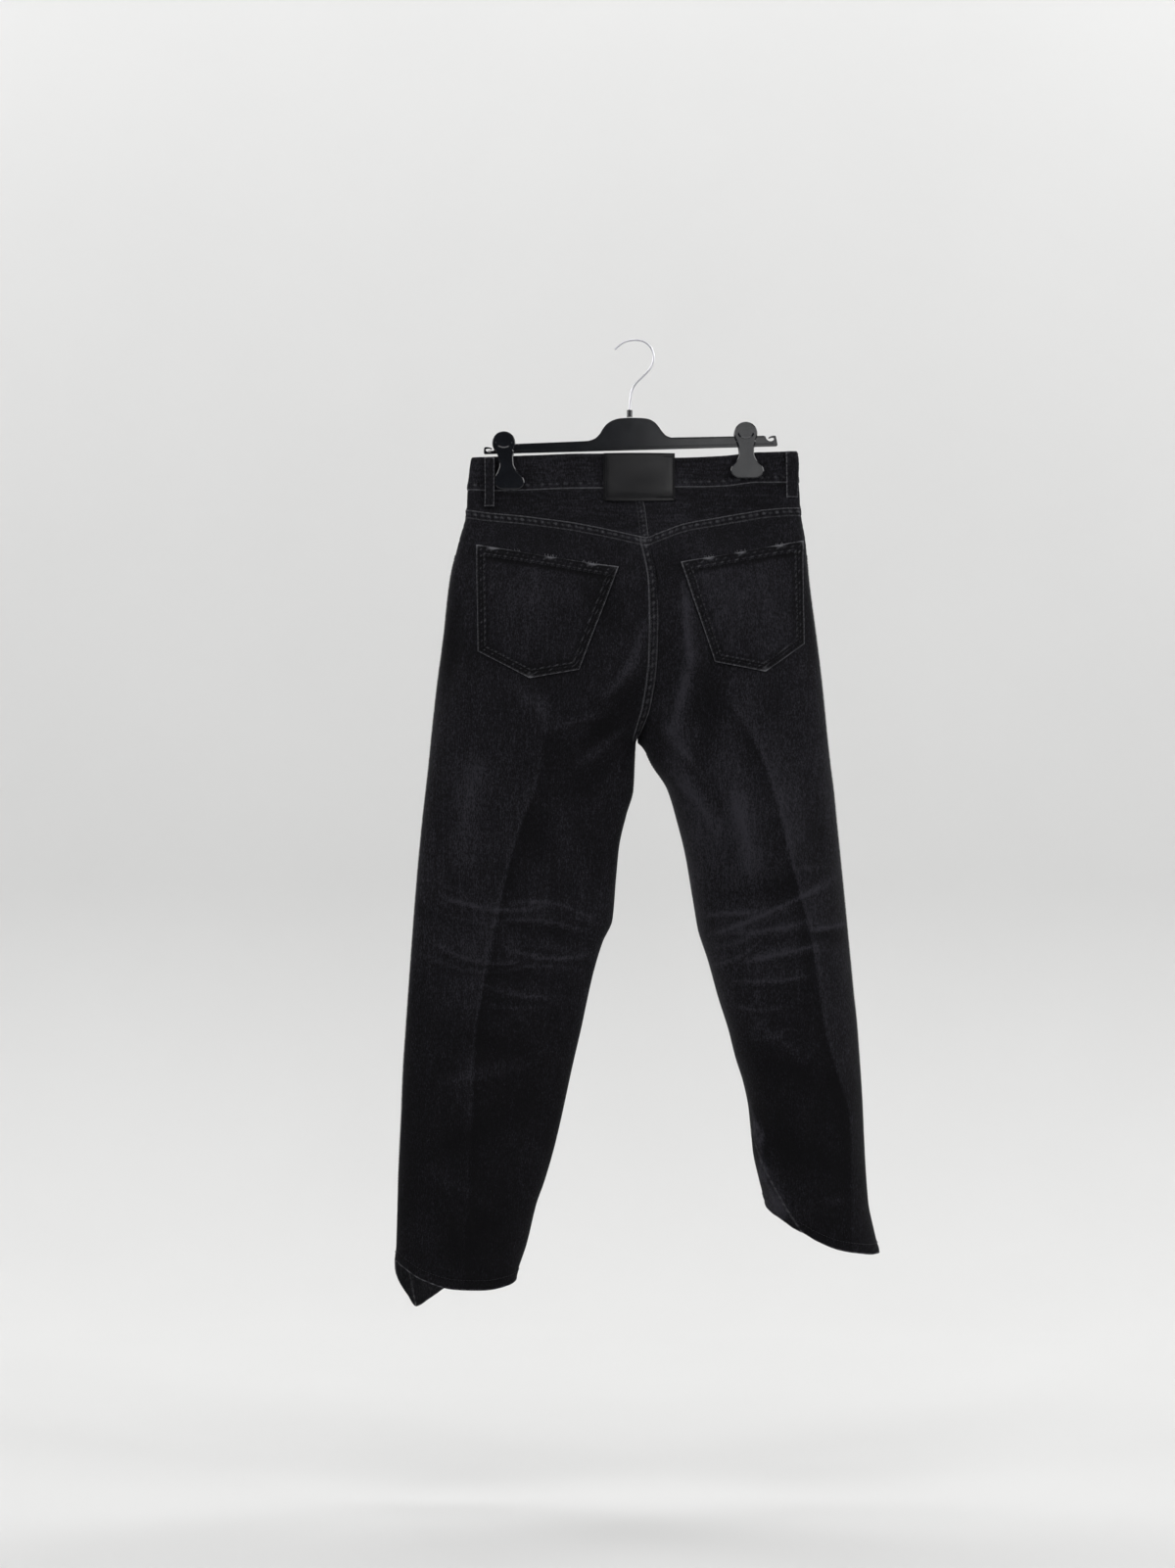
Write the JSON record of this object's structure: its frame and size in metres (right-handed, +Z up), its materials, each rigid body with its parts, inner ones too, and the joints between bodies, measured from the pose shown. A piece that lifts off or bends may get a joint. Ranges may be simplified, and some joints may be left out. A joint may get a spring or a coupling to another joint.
{
  "type": "boyfriend jeans on a clip hanger",
  "caption": "Faded black denim boyfriend jeans with back patch pockets and a plain waist patch, hung by the waistband from a clip hanger with a wire hook.",
  "frame": {"origin": "where the hook bears on its rail, at the inner side of the top of the bend", "axes": "+Z up; the front of the jeans faces -Y and the back faces +Y; the wearer's left is +X"},
  "size_m": [0.5939, 0.1184, 1.1889],
  "materials": {
    "denim": "faded black twill, matt",
    "zip_tape": "matt woven tape",
    "patch": "satin black",
    "plastic": "satin black",
    "steel": "satin"
  },
  "bodies": {
    "root": {"waistband": "denim", "yoke_left": "denim", "yoke_right": "denim", "back_left": "denim", "back_right": "denim", "front_left": "denim", "front_right": "denim", "pocket_facing_left": "denim", "pocket_facing_right": "denim", "back_pocket_left": "denim", "back_pocket_right": "denim", "fly": "denim", "belt_loop_back_left": "denim", "belt_loop_back_right": "denim", "belt_loop_front_left": "denim", "belt_loop_front_right": "denim", "zip": "zip_tape", "patch": "patch", "hanger_bar": "plastic", "clip_left_saddle": "plastic", "clip_left_back_jaw": "plastic", "clip_left_front_jaw": "plastic", "clip_right_saddle": "plastic", "clip_right_back_jaw": "plastic", "clip_right_front_jaw": "plastic", "hanger_hook": "steel", "hanger_collar": "steel", "button": "steel"}
  },
  "joints": []
}
